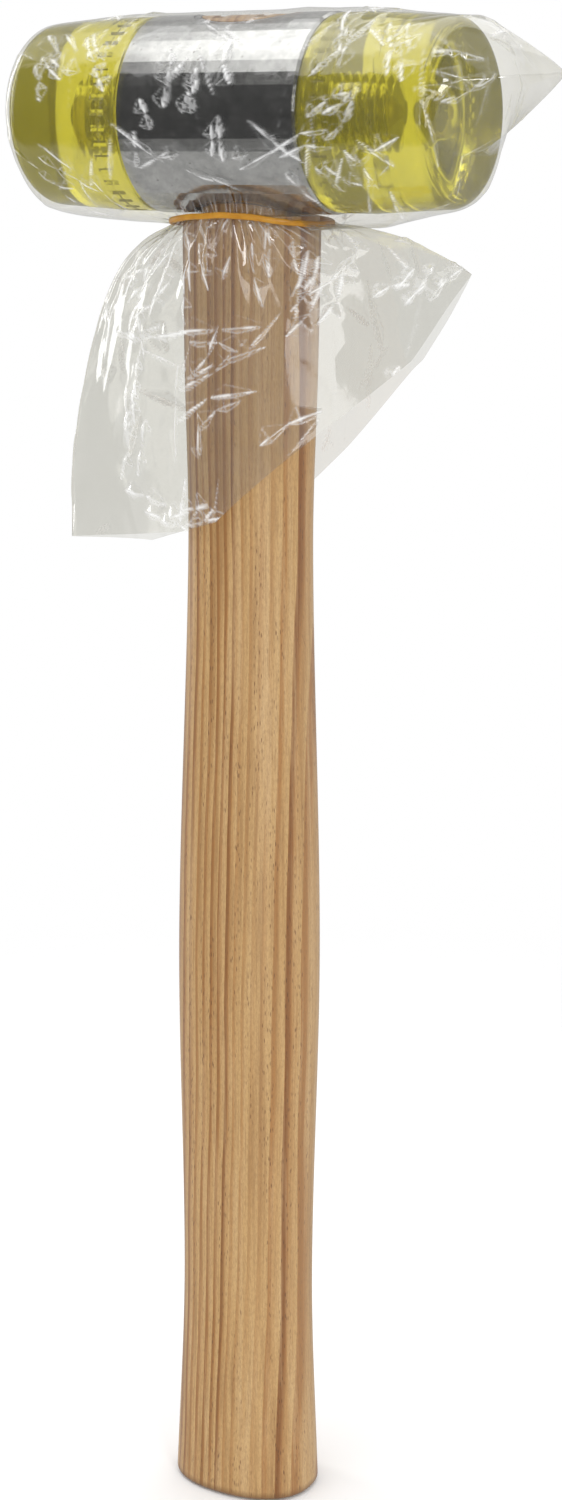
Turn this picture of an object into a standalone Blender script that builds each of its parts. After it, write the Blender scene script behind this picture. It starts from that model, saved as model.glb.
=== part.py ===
"""A dead blow mallet: steel head with two screw-on plastic faces on an oval ash handle, still in its film bag.

The frame: the origin is the centre of the handle's flat butt face, +Z runs up the handle to the head,
and +X runs along the head towards the right face. Everything is in metres.
"""

import math

import bmesh
import bpy
import numpy as np
from mathutils import Vector

GAP = 0.0003  # between pieces that touch in life

# Head: a steel tube that lies along X, with a plug in each end
HEAD_Z = 0.3121
TUBE_R = 0.0206
TUBE_WALL = 0.0025
TUBE_HALF = 0.0214
TUBE_SIDES = 48
PLUG_THICK = 0.004
EDGE_CHAMFER = 0.0005

# Oval eye through the head, its liner and the handle's tenon
TENON_X = 0.0108
TENON_Y = 0.0082
TENON_RINGS = (0.9, 0.5, 0.2)  # of its domed end, as shares of its outline
SLEEVE_WALL = 0.0012
SLEEVE_BLANK = 0.024  # half its height before its ends are trimmed to the tube
EYE_CUT = 0.03  # half the height of the prism that cuts the eye
OVAL_POWER = 2.3  # 2 would be a plain ellipse

# 10 mm studs with a coarse round thread that carry the faces
STUD_R = 0.005
THREAD_PITCH = 0.002
THREAD_DEPTH = 0.0011
THREAD_STEPS = 4  # rings in one pitch
THREAD_SIDES = 15
THREAD_CLEARANCE = 0.0004
THREAD_RUN_IN = 0.0003  # between the thread's ends and the rings next to them
STUD_CHAMFER = 0.0006
STUD_UNDERCUT = 0.0004
STUD_TIP_X = 0.0362

# Plastic faces
FACE_R = 0.0203
FACE_BACK = TUBE_HALF + GAP
FACE_LENGTH = 0.029
FACE_ROUND = 0.004
FACE_DRAFT = 0.001  # how much the cast body narrows towards the striking end
FACE_FLAT_R = 0.0093  # an inner ring on the striking end
FACE_SIDES = 60
KNURL_START = 0.0025  # from the back of the face
KNURL_LENGTH = 0.0037
KNURL_DEPTH = 0.0004
KNURL_SLOPE = 0.0004  # length of the grooves' sloped ends
HOLE_DEPTH = 0.0161  # threaded part, from the back of the face
DRILL_TIP = 0.0015  # depth and radius of the hole's blunt tip

# Toothed lock washers under the faces
WASHER_R = 0.0095
WASHER_THICK = 0.0008
WASHER_TEETH = 10
TOOTH_DEPTH = 0.0012
POCKET_ROOM = 0.0007  # round the washer, in the back of the face

# Shot
SHOT_LEVEL = 0.003  # its free surface, above the head's axis
SHOT_TRAVEL = 0.0015

# Handle: (height, half of the width along X) at the butt, waist, bulge, neck and shoulder
HANDLE_STATIONS = (
    (0.0, 0.0170), (0.050, 0.0152), (0.130, 0.0163), (0.220, 0.0140), (0.260, 0.0148), (0.296, 0.0153),
)
HANDLE_DEPTH = 0.76  # its depth along Y over its width
HANDLE_SIDES = 28
HANDLE_RINGS = 18
BUTT_ROUND = 0.0012
SHOULDER_RING = 0.0012  # height of the topmost level ring, below the head

# Wedges in the tenon: (half the length, depth, thickness at the top, thickness at the tip)
WOOD_WEDGE = (0.0094, 0.026, 0.0034, 0.0008)
STEEL_WEDGE = (0.0055, 0.013, 0.002, 0.0006)
STEEL_WEDGE_X = 0.0052
WEDGE_SINK = 0.0014  # from the top of the head down to the wedges
SLOT_RISE = 0.003  # how far a wedge's slot is cut above the wedge

# Film bag over the head, tied round the top of the handle with a rubber band
FILM = 0.0004
BAG_COLUMNS = 40
HOOD_ROWS = 15
SKIRT_ROWS = 5
NECK_X = 0.0162
NECK_Y = 0.01255
NECK_HALF = 0.0016  # half the height of its straight stretch
HOOD_R = 0.0230
HOOD_HALF = 0.0538
NECK_DROP = 0.0231  # below the head's axis at the sides
NECK_RISE = 0.0018  # how much higher it is at the front and back
HOOD_SQUARE = 26.0  # power of the hood's box-like outline
BEND_WEIGHT = 0.006  # length that a sharp bend counts for when rows are spread
BAND_THICK = 0.0013
# The bag's empty flat corner, seen from the front: (slope in degrees, distance from the head's centre)
# where it starts, leaves the face, has its tip, meets the hood again and ends
BAG_CORNER = ((-9, 0.0), (-4, 0.055), (6, 0.071), (19, 0.055), (27, 0.0))
CORNER_FAN = 9.0  # degrees from the corner's middle to its pinched front and back

# The bag's skirt: the open mouth, and the middle of its sides, below the head's axis
MOUTH_SHIFT = 0.0028
MOUTH_HALF = 0.0488
MOUTH_DEPTH = 0.0155
MOUTH_DROP = 0.077
MOUTH_SIDE_RISE = 0.0155
MOUTH_TILT = 0.0295  # its right end is higher than its left one
SIDE_HALF = 0.038
SIDE_DEPTH = 0.0145
SIDE_SHIFT = 0.001
SIDE_DROP = 0.05
SIDE_RISE = 0.025
SIDE_TILT = 0.003


def clear_scene():
    for item in list(bpy.data.objects):
        bpy.data.objects.remove(item, do_unlink=True)


def material(name, colour, roughness, metallic=0.0, alpha=1.0, transmission=0.0):
    made = bpy.data.materials.new(name)
    made.use_nodes = True
    shader = made.node_tree.nodes["Principled BSDF"]
    shader.inputs["Base Color"].default_value = (*colour, 1.0)
    shader.inputs["Roughness"].default_value = roughness
    shader.inputs["Metallic"].default_value = metallic
    shader.inputs["Alpha"].default_value = alpha
    shader.inputs["Transmission Weight"].default_value = transmission
    made.diffuse_color = (*colour, alpha)
    return made


def ash_material(name):
    return material(name, (0.66, 0.44, 0.25), 0.5)


def chrome_material(name):
    return material(name, (0.72, 0.73, 0.75), 0.12, metallic=1.0)


def steel_material(name):
    return material(name, (0.5, 0.5, 0.52), 0.35, metallic=1.0)


def face_material(name):
    return material(name, (0.72, 0.7, 0.12), 0.08, transmission=0.9)


def film_material(name):
    return material(name, (0.9, 0.91, 0.92), 0.15, alpha=0.3, transmission=0.9)


def rubber_material(name):
    return material(name, (0.75, 0.42, 0.05), 0.45)


def place(name, work, surface, origin=(0, 0, 0), smooth_angle=35):
    """Puts a finished bmesh, modelled in the part's frame, into the scene with its own origin."""
    bmesh.ops.recalc_face_normals(work, faces=work.faces)
    mesh = bpy.data.meshes.new(name)
    work.to_mesh(mesh)
    work.free()
    for corner in mesh.vertices:
        corner.co -= Vector(origin)
    mesh.shade_smooth()
    mesh.set_sharp_from_angle(angle=math.radians(smooth_angle))
    mesh.materials.append(surface)
    made = bpy.data.objects.new(name, mesh)
    made.location = origin
    bpy.context.scene.collection.objects.link(made)
    return made


def cutter(name, work):
    """A closed body that only serves a Boolean."""
    bmesh.ops.recalc_face_normals(work, faces=work.faces)
    mesh = bpy.data.meshes.new(name)
    work.to_mesh(mesh)
    work.free()
    made = bpy.data.objects.new(name, mesh)
    made.hide_render = True
    made.display_type = "WIRE"
    bpy.context.scene.collection.objects.link(made)
    return made


def boolean(piece, other, operation="DIFFERENCE"):
    step = piece.modifiers.new(f"{operation.lower()} {other.name}", "BOOLEAN")
    step.operation = operation
    step.object = other


def join_rings(work, first, second):
    """Faces between two rings of points; the counts are equal, or one is a multiple of the other."""
    if len(first) < len(second):
        first, second = second, first
    share = len(first) // len(second)
    for i, point in enumerate(second):
        after = second[(i + 1) % len(second)]
        for k in range(share):
            a = first[i * share + k]
            b = first[(i * share + k + 1) % len(first)]
            if k < share - 1:
                work.faces.new((a, b, point))
            else:
                work.faces.new((a, b, after, point))


def loft(work, rings, closed=False):
    """Skins a list of rings of coordinates and caps both ends, or joins the last to the first."""
    rows = [[work.verts.new(point) for point in ring] for ring in rings]
    for first, second in zip(rows, rows[1:]):
        join_rings(work, first, second)
    if closed:
        join_rings(work, rows[-1], rows[0])
        return
    for row in (rows[0], rows[-1]):
        work.faces.new(row)


def circle(x, radius, sides):
    """A ring round the head's axis."""
    turns = [2 * math.pi * i / sides for i in range(sides)]
    return [(x, radius * math.sin(a), HEAD_Z + radius * math.cos(a)) for a in turns]


def oval(half_x, half_y, z, sides=HANDLE_SIDES, power=OVAL_POWER):
    """A ring round the handle's axis; z is a height or a function of the point's y."""
    ring = []
    for i in range(sides):
        a = 2 * math.pi * i / sides
        c, s = math.cos(a), math.sin(a)
        x = half_x * math.copysign(abs(c) ** (2 / power), c)
        y = half_y * math.copysign(abs(s) ** (2 / power), s)
        ring.append((x, y, z(y) if callable(z) else z))
    return ring


def smooth_through(stations, at):
    """A Catmull-Rom curve through (position, value) stations, read at one position."""
    places = [p for p, _ in stations]
    values = [v for _, v in stations]
    i = min(max(int(np.searchsorted(places, at)) - 1, 0), len(places) - 2)
    span = places[i + 1] - places[i]
    slopes = []
    for k in (i, i + 1):
        low, high = max(k - 1, 0), min(k + 1, len(places) - 1)
        slopes.append((values[high] - values[low]) / (places[high] - places[low]))
    t = (at - places[i]) / span
    return (
        (2 * t**3 - 3 * t**2 + 1) * values[i]
        + (t**3 - 2 * t**2 + t) * span * slopes[0]
        + (3 * t**2 - 2 * t**3) * values[i + 1]
        + (t**3 - t**2) * span * slopes[1]
    )


def over_head(clearance):
    """The height of the head's top over a point at y, less a clearance."""
    return lambda y: HEAD_Z + math.sqrt((TUBE_R - clearance) ** 2 - y**2)


def tapered_plate(size, along, centre_x, slot=False):
    """A wedge: a plate that thins downwards from the top of the tenon. Its slot is a gap larger."""
    half_length, depth, thick_top, thick_tip = size
    grow = GAP if slot else 0.0
    above = SLOT_RISE if slot else 0.0
    taper = (thick_top - thick_tip) / depth
    top = HEAD_Z + TUBE_R - WEDGE_SINK
    ends = ((top + above, thick_top + taper * above), (top - depth - grow, thick_tip))
    work = bmesh.new()
    rings = []
    for z, thick in ends:
        a = half_length + grow
        b = thick / 2 + grow
        corners = ((-a, -b), (a, -b), (a, b), (-a, b))
        if along == "X":
            rings.append([(centre_x + p, q, z) for p, q in corners])
        else:
            rings.append([(centre_x + q, p, z) for p, q in corners])
    loft(work, rings)
    return work


def build_handle():
    work = bmesh.new()
    rings = []
    for k in range(4):
        a = math.pi / 2 * k / 3
        inset = BUTT_ROUND * (1 - math.sin(a))
        z = BUTT_ROUND * (1 - math.cos(a))
        width = smooth_through(HANDLE_STATIONS, z)
        rings.append(oval(width - inset, width * HANDLE_DEPTH - inset, z))
    top = HEAD_Z - TUBE_R - GAP
    for k in range(1, HANDLE_RINGS):
        z = BUTT_ROUND + (top - SHOULDER_RING - BUTT_ROUND) * k / HANDLE_RINGS
        width = smooth_through(HANDLE_STATIONS, z)
        rings.append(oval(width, width * HANDLE_DEPTH, z))
    width = smooth_through(HANDLE_STATIONS, top)
    rings.append(oval(width, width * HANDLE_DEPTH, top))
    rings.append(oval(TENON_X, TENON_Y, top))
    for share in (1.0, *TENON_RINGS):
        rings.append(oval(TENON_X * share, TENON_Y * share, over_head(GAP)))
    loft(work, rings)
    handle = place("handle", work, ash_material("ash handle"))
    for name in ("wood wedge slot", "steel wedge slot left", "steel wedge slot right"):
        boolean(handle, bpy.data.objects[name])


def build_wedges():
    """The wooden wedge runs along the oval; the two steel ones cross it."""
    wood = (WOOD_WEDGE, "X", 0.0)
    cutter("wood wedge slot", tapered_plate(*wood, slot=True))
    wedge = place("wooden_wedge", tapered_plate(*wood), ash_material("beech wedge"))
    for side, name in ((-1, "left"), (1, "right")):
        steel = (STEEL_WEDGE, "Y", side * STEEL_WEDGE_X)
        boolean(wedge, cutter(f"steel wedge slot {name}", tapered_plate(*steel, slot=True)))
        place(f"steel_wedge_{name}", tapered_plate(*steel), steel_material(f"wedge steel {name}"))


def turned_tube(outer, inner, start, end, chamfer, sides):
    """A ring-shaped body on the head's axis with chamfered outer edges."""
    work = bmesh.new()
    rings = [
        circle(start, inner, sides),
        circle(start, outer - chamfer, sides),
        circle(start + chamfer, outer, sides),
        circle(end - chamfer, outer, sides),
        circle(end, outer - chamfer, sides),
        circle(end, inner, sides),
    ]
    loft(work, rings, closed=True)
    return work


def eye_cutter(name, extra, travel=0.0):
    """An oval prism that goes right through the head, with extra room all round and along X."""
    work = bmesh.new()
    size = SLEEVE_WALL + GAP + extra
    half_x = TENON_X + size + travel
    ends = [oval(half_x, TENON_Y + size, HEAD_Z + side * EYE_CUT) for side in (-1, 1)]
    loft(work, ends)
    return cutter(name, work)


def build_head_tube():
    work = turned_tube(
        TUBE_R, TUBE_R - TUBE_WALL, -TUBE_HALF, TUBE_HALF, EDGE_CHAMFER, TUBE_SIDES
    )
    tube = place("head_tube", work, chrome_material("chromed steel"))
    boolean(tube, eye_cutter("eye", GAP))


def build_eye_sleeve():
    """The liner that keeps the shot out of the eye; its ends follow the tube's outside."""
    work = bmesh.new()
    rings = []
    for wall, end in ((SLEEVE_WALL, -1), (SLEEVE_WALL, 1), (0, 1), (0, -1)):
        size = GAP + wall
        rings.append(oval(TENON_X + size, TENON_Y + size, HEAD_Z + end * SLEEVE_BLANK))
    loft(work, rings, closed=True)
    sleeve = place("eye_sleeve", work, steel_material("sleeve steel"))
    trim = bmesh.new()
    loft(trim, [circle(side * TUBE_HALF, TUBE_R - GAP, TUBE_SIDES) for side in (-1, 1)])
    boolean(sleeve, cutter("sleeve trim", trim), "INTERSECT")


def build_end_plug(side, name):
    inner, outer = TUBE_HALF - GAP - PLUG_THICK, TUBE_HALF - GAP
    start, end = sorted((side * inner, side * outer))
    work = turned_tube(
        TUBE_R - TUBE_WALL - GAP, STUD_R + GAP, start, end, EDGE_CHAMFER, 2 * THREAD_SIDES
    )
    place(f"end_plug_{name}", work, steel_material(f"plug steel {name}"))


def thread_ring(x, mean, swing):
    """A ring of a right-hand thread: its radius follows the helix."""
    ring = []
    for i in range(THREAD_SIDES):
        a = 2 * math.pi * i / THREAD_SIDES
        turn = (x / THREAD_PITCH + i / THREAD_SIDES) % 1.0
        radius = mean + swing * (4 * abs(turn - 0.5) - 1)
        ring.append((x, radius * math.sin(a), HEAD_Z + radius * math.cos(a)))
    return ring


def thread_places(start, end):
    """Ring positions along a thread, at fixed fractions of the pitch."""
    step = THREAD_PITCH / THREAD_STEPS
    return [k * step for k in range(math.ceil(start / step), math.floor(end / step) + 1)]


def turned_round(ring, side):
    """The ring as it is for the right side, or turned half round the handle for the left.

    Turning, and not mirroring, keeps the thread's hand.
    """
    return [(side * x, side * y, z) for x, y, z in ring]


def build_stud(side, name):
    root = TUBE_HALF - GAP - PLUG_THICK
    shoulder = TUBE_HALF
    mean = STUD_R - THREAD_DEPTH / 2
    rings = [
        circle(root, STUD_R - STUD_CHAMFER, THREAD_SIDES),
        circle(root + STUD_CHAMFER, STUD_R, THREAD_SIDES),
        circle(shoulder, STUD_R, THREAD_SIDES),
        circle(shoulder + STUD_UNDERCUT, STUD_R - THREAD_DEPTH, THREAD_SIDES),
    ]
    start = shoulder + STUD_UNDERCUT + THREAD_RUN_IN
    for x in thread_places(start, STUD_TIP_X - STUD_CHAMFER - THREAD_RUN_IN):
        rings.append(thread_ring(x, mean, THREAD_DEPTH / 2))
    rings.append(circle(STUD_TIP_X, STUD_R - THREAD_DEPTH - STUD_UNDERCUT, THREAD_SIDES))
    work = bmesh.new()
    loft(work, [turned_round(ring, side) for ring in rings])
    place(f"face_stud_{name}", work, steel_material(f"stud steel {name}"))


def knurled(x, depth):
    """A ring of the face's outside where every other point dips into a groove."""
    ring = circle(x, FACE_R, FACE_SIDES)
    low = circle(x, FACE_R - depth, FACE_SIDES)
    return [low[i] if i % 2 else ring[i] for i in range(FACE_SIDES)]


def build_face(side, name):
    """From the centre of the striking end, over the outside, to the end of the threaded hole."""
    end = FACE_BACK + FACE_LENGTH
    rings = [circle(end, FACE_FLAT_R, THREAD_SIDES)]
    for k in range(4):
        a = math.pi / 2 * k / 3
        radius = FACE_R - FACE_DRAFT - FACE_ROUND * (1 - math.sin(a))
        rings.append(circle(end - FACE_ROUND * (1 - math.cos(a)), radius, FACE_SIDES))
    knurl_end = FACE_BACK + KNURL_START + KNURL_LENGTH
    rings.append(circle(knurl_end, FACE_R, FACE_SIDES))
    rings.append(knurled(knurl_end - KNURL_SLOPE, KNURL_DEPTH))
    rings.append(knurled(FACE_BACK + KNURL_START + KNURL_SLOPE, KNURL_DEPTH))
    rings.append(circle(FACE_BACK + KNURL_START, FACE_R, FACE_SIDES))
    rings.append(circle(FACE_BACK + EDGE_CHAMFER, FACE_R, FACE_SIDES))
    rings.append(circle(FACE_BACK, FACE_R - EDGE_CHAMFER, FACE_SIDES))
    pocket = WASHER_R + POCKET_ROOM
    floor = FACE_BACK + WASHER_THICK + GAP
    rings.append(circle(FACE_BACK, pocket, THREAD_SIDES))
    rings.append(circle(floor, pocket, THREAD_SIDES))
    mean = STUD_R - THREAD_DEPTH / 2 + THREAD_CLEARANCE
    rings.append(circle(floor, STUD_R + THREAD_CLEARANCE, THREAD_SIDES))
    hole_end = FACE_BACK + HOLE_DEPTH
    for x in thread_places(floor + THREAD_RUN_IN, hole_end - THREAD_RUN_IN):
        rings.append(thread_ring(x, mean, THREAD_DEPTH / 2))
    rings.append(circle(hole_end, STUD_R - THREAD_DEPTH, THREAD_SIDES))
    rings.append(circle(hole_end + DRILL_TIP, DRILL_TIP, THREAD_SIDES))
    work = bmesh.new()
    loft(work, [turned_round(ring, side) for ring in rings])
    place(
        f"face_{name}", work, face_material(f"face plastic {name}"),
        origin=(side * FACE_BACK, 0, HEAD_Z),
    )


def build_lock_washer(side, name):
    """A thin ring with teeth round its outside."""
    near, far = TUBE_HALF, TUBE_HALF + WASHER_THICK
    sides = WASHER_TEETH * 4
    rings = []
    for x, outer in ((near, False), (near, True), (far, True), (far, False)):
        ring = circle(x, WASHER_R if outer else STUD_R + 2 * GAP, sides)
        if outer:
            root = circle(x, WASHER_R - TOOTH_DEPTH, sides)
            ring = [root[i] if i % 4 in (0, 1) else ring[i] for i in range(sides)]
        rings.append(turned_round(ring, side))
    work = bmesh.new()
    loft(work, rings, closed=True)
    place(
        f"lock_washer_{name}", work, steel_material(f"washer steel {name}"),
        origin=(side * TUBE_HALF, 0, HEAD_Z),
    )


def build_shot():
    """The bed of loose shot in the lower part of the chamber, with room to rush along X."""
    half = TUBE_HALF - 2 * GAP - PLUG_THICK - SHOT_TRAVEL
    radius = TUBE_R - TUBE_WALL - GAP
    work = bmesh.new()
    loft(work, [circle(side * half, radius, TUBE_SIDES) for side in (-1, 1)])
    shot = place("shot_charge", work, steel_material("shot steel"), origin=(0, 0, HEAD_Z))
    boolean(shot, eye_cutter("room round the sleeve", GAP, SHOT_TRAVEL))
    air = bmesh.new()
    bmesh.ops.create_cube(air, size=0.1)
    bmesh.ops.translate(air, vec=(0, 0, HEAD_Z + SHOT_LEVEL + 0.05), verts=air.verts)
    boolean(shot, cutter("air over the shot", air))


def neck_point(turn, extra=0.0, lift=0.0):
    """A point of the bag's neck; the band rides up under the head's belly at the front and back."""
    c, s = math.cos(turn), math.sin(turn)
    across = (abs(c) / (NECK_X + extra)) ** OVAL_POWER + (abs(s) / (NECK_Y + extra)) ** OVAL_POWER
    radius = across ** (-1 / OVAL_POWER)
    return Vector((radius * c, radius * s, HEAD_Z - NECK_DROP + NECK_RISE * s**2 + lift))


def corner_reach(direction):
    """How far the bag's empty flat corner reaches past the right face, in one direction."""
    slope = math.degrees(math.atan2(direction.z, direction.x))
    reach = np.interp(slope, [p for p, _ in BAG_CORNER], [r for _, r in BAG_CORNER])
    width = math.degrees(math.atan2(direction.y, direction.x))
    return reach * math.exp(-((width / CORNER_FAN) ** 4)) if direction.x > 0 else 0.0


def hood_reach(direction):
    """The distance from the head's centre to the film, in one direction."""
    across = math.hypot(direction.y, direction.z) / HOOD_R
    along = abs(direction.x) / HOOD_HALF
    around = (across**HOOD_SQUARE + along**HOOD_SQUARE) ** (-1 / HOOD_SQUARE)
    return max(around, corner_reach(direction))


def hood_point(turn, rise):
    """rise goes from 0 at the neck to 1 at the top of the head."""
    start = neck_point(turn, lift=NECK_HALF) - Vector((0, 0, HEAD_Z))
    tilt = math.atan2(math.hypot(start.x, start.y), -start.z)
    angle = tilt + (math.pi - tilt) * rise
    level = math.sin(angle)
    out = Vector((level * math.cos(turn), level * math.sin(turn), -math.cos(angle)))
    return Vector((0, 0, HEAD_Z)) + out * hood_reach(out)


def skirt_point(turn, drop):
    """drop goes from 0 at the neck to 1 at the open mouth, which hangs lower on the left."""
    c, s = math.cos(turn), math.sin(turn)
    neck = neck_point(turn, lift=-NECK_HALF)
    middle_z = HEAD_Z - SIDE_DROP + SIDE_RISE * c**2 + SIDE_TILT * c
    middle = Vector((SIDE_HALF * c + SIDE_SHIFT * s**2, SIDE_DEPTH * s, middle_z))
    mouth_z = HEAD_Z - MOUTH_DROP + MOUTH_SIDE_RISE * c**2 + MOUTH_TILT * c
    mouth = Vector((MOUTH_SHIFT + MOUTH_HALF * c, MOUTH_DEPTH * s, mouth_z))
    return (1 - drop) ** 2 * neck + 2 * drop * (1 - drop) * middle + drop**2 * mouth


def hood_outline(turn):
    """The hood's outline seen from above."""
    out = Vector((math.cos(turn), math.sin(turn), 0))
    return out * hood_reach(out)


def well_spread(curve, low, high, count):
    """Values between low and high that put even steps on a curve, and shorter ones where it bends."""
    values = np.linspace(low, high, 400)
    points = np.array([curve(value) for value in values])
    steps = np.diff(points, axis=0)
    lengths = np.linalg.norm(steps, axis=1)
    bends = np.linalg.norm(np.diff(steps / lengths[:, None], axis=0), axis=1)
    weights = lengths + BEND_WEIGHT * np.append(bends, 0)
    so_far = np.concatenate([[0], np.cumsum(weights)])
    return np.interp(np.linspace(0, so_far[-1], count + 1), so_far, values)


def offset_rows(rows, distance):
    """Moves a grid of points, closed around, along its normals; the last row is a single point."""
    count = len(rows[0])
    moved = []
    for r, row in enumerate(rows):
        line = []
        for i, point in enumerate(row):
            around = row[(i + 1) % count] - row[i - 1]
            up = rows[min(r + 1, len(rows) - 1)][i] - rows[max(r - 1, 0)][i]
            line.append(point + around.cross(up).normalized() * distance)
        moved.append(line)
    return moved


def build_bag():
    """One thin closed body: mouth, neck, hood on the outside, and the same again on the inside."""
    turns = [float(t) for t in well_spread(hood_outline, 0, 2 * math.pi, BAG_COLUMNS)[:-1]]
    rises = [well_spread(lambda r: hood_point(t, r), 0, 1, HOOD_ROWS) for t in turns]
    rows = []
    for r in range(SKIRT_ROWS):
        rows.append([skirt_point(t, 1 - r / SKIRT_ROWS) for t in turns])
    for lift in (-NECK_HALF, NECK_HALF):
        rows.append([neck_point(t, lift=lift) for t in turns])
    for r in range(1, HOOD_ROWS):
        rows.append([hood_point(t, float(rise[r])) for t, rise in zip(turns, rises)])
    outside = offset_rows(rows, FILM / 2)
    inside = offset_rows(rows, -FILM / 2)
    crown = Vector((0, 0, HEAD_Z + HOOD_R))
    work = bmesh.new()
    skins = []
    for skin, shift in ((outside, FILM / 2), (inside, -FILM / 2)):
        made = [[work.verts.new(point) for point in row] for row in skin]
        for first, second in zip(made, made[1:]):
            join_rings(work, first, second)
        top = work.verts.new(crown + Vector((0, 0, shift)))
        for i in range(BAG_COLUMNS):
            work.faces.new((made[-1][i], made[-1][(i + 1) % BAG_COLUMNS], top))
        skins.append(made)
    join_rings(work, skins[0][0], skins[1][0])
    place("protective_bag", work, film_material("clear film"), smooth_angle=60)


def build_rubber_band():
    """A square-section loop that follows the neck of the bag."""
    sides = BAG_COLUMNS
    work = bmesh.new()
    inner = FILM / 2 + GAP
    rings = []
    for extra, lift in ((0, -1), (BAND_THICK, -1), (BAND_THICK, 1), (0, 1)):
        turns = [2 * math.pi * i / sides for i in range(sides)]
        rings.append([neck_point(t, inner + extra, lift * BAND_THICK / 2) for t in turns])
    loft(work, rings, closed=True)
    place("rubber_band", work, rubber_material("amber rubber"))


def main():
    clear_scene()
    build_wedges()
    build_handle()
    build_head_tube()
    build_eye_sleeve()
    for side, name in ((-1, "left"), (1, "right")):
        build_end_plug(side, name)
        build_stud(side, name)
        build_lock_washer(side, name)
        build_face(side, name)
    build_shot()
    build_bag()
    build_rubber_band()


main()
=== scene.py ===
"""Looks for the dead blow mallet: clear film bag, cast yellow faces, chromed head and ash handle.

Everything is in metres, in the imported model's frame: the origin is the centre of the handle's butt,
+Z runs up to the head and +X along the head towards the right face. The camera stands in front (-Y).
"""

import math

import bmesh
import bpy
import numpy as np
from mathutils import Matrix, Vector, noise


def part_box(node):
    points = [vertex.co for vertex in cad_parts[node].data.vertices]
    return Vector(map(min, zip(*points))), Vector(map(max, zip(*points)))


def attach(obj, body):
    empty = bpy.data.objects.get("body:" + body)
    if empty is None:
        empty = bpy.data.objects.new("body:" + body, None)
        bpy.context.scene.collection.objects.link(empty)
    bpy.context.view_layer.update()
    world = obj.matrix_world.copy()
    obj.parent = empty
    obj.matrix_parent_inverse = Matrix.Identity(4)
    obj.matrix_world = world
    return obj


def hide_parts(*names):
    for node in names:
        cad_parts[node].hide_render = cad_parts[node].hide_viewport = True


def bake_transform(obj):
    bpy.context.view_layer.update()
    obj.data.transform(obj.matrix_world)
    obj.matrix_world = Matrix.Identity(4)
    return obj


# --- The mallet's driving sizes ---------------------------------------------------------------
GAP = 0.0003  # between pieces that touch in life
FACE_ROUND = 0.004  # rounding of the striking edge
FACE_DRAFT = 0.001  # how much the cast body narrows towards the striking end
KNURL = (0.0025, 0.0062)  # the grooved band, from the back of the face
GROOVES = 40
GROOVE_DEPTH = 0.00042
PITCH = 0.002  # of the stud's thread
THREAD_DEPTH = 0.0011
THREAD_ROOM = 0.0004
STUD_CHAMFER = 0.0006
STUD_UNDERCUT = 0.0004
HOLE_DEPTH = 0.0161
OVAL_POWER = 2.3  # of the handle's section; 2 would be an ellipse
HANDLE_DEPTH = 0.76  # depth over width
# The handle's half width at the heights of its butt, waist, bulge, neck and shoulder
HANDLE_STATIONS = (
    (0.0, 0.0170), (0.050, 0.0152), (0.130, 0.0163), (0.220, 0.0140), (0.260, 0.0148), (0.296, 0.0153),
)
BUTT_ROUND = 0.0012
TENON = (0.0108, 0.0082)

# --- The film bag -----------------------------------------------------------------------------
FILM_STEP = 0.0004  # the size of its mesh
NECK = (0.0162, 0.01255)  # half width and half depth where the band holds it
NECK_DROP = 0.0231  # below the head's axis at the sides
NECK_RISE = 0.0018  # how much higher it is at the front and back
HOOD_OFF = 0.00055  # the film's distance from the head where it is tight
HOOD_SQUARE = 15.0  # power of the hood's box-like outline
HOOD_RISE = 0.089  # along the film, from the neck to the seam over the head
HOOD_NARROW = 0.0013  # how much tighter the film is over the faces' narrow ends
BELLY = (0.0014, 0.0022)  # how far it hangs below the head, on the left and on the right
# The empty corner past the right face: (slope in degrees, distance from the head's centre)
# where it starts, leaves the face, has its tip, meets the hood again and ends
CORNER = ((-16, 0.0), (-9, 0.053), (6, 0.072), (20, 0.056), (40, 0.0))
CORNER_FAN = 21.0
SEED = 7
# The skirt, in millimetres from the handle's axis and down from the head's
SKIRT_MIDDLES = ((-46, 29), (-4, 50), (38, 23))  # what bends its left edge, front and right edge
# its hem, from the left lower corner to the right one
SKIRT_HEM = ((-47, 93), (-20, 91), (0, 85), (40, 50), (52, 32))
# Families of creases on its front, in the same millimetres: how many, the middle of the patch they
# lie in, half its size, their slope and its spread in degrees, their lengths and their half width
SKIRT_CREASES = (
    (9, (2, 32), (14, 6), 85, 15, (7, 15), 0.6),  # hang from the band over the handle
    (9, (-20, 35), (9, 8), 125, 15, (10, 18), 0.5),  # fan out over the left wing
    (7, (23, 35), (6, 8), 105, 20, (8, 16), 0.7),  # and over the right one, beside the handle
    (6, (5, 60), (12, 12), -35, 12, (12, 24), 0.6),  # pulled up across the handle to the right
    (4, (-12, 46), (14, 2), -6, 8, (14, 24), 0.7),  # across the front
    (6, (-30, 68), (8, 12), 95, 20, (8, 16), 0.5),  # down the left wing
    (6, (-8, 84), (14, 3), -8, 18, (8, 16), 0.6),  # along the hem
    (6, (42, 38), (7, 8), -50, 20, (5, 10), 0.5),  # short ones on the right wing
)
# Those of the hood's front, in millimetres along the head and up from its axis
HOOD_CREASES = (
    (9, (-6, 2), (12, 10), 95, 30, (6, 12), 0.6),  # over the steel
    (6, (-33, 12), (9, 6), -50, 20, (6, 10), 0.6),  # over the left face's top
    (4, (-36, -12), (8, 6), -50, 20, (6, 12), 0.4),  # and its bottom
    (7, (30, 4), (9, 12), 35, 15, (10, 18), 0.6),  # pulled towards the empty corner
    (5, (36, 12), (8, 4), -60, 15, (6, 12), 0.7),  # below the corner's fold
    (4, (26, -14), (10, 4), -45, 20, (6, 10), 0.5),  # towards the neck
)
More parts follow.
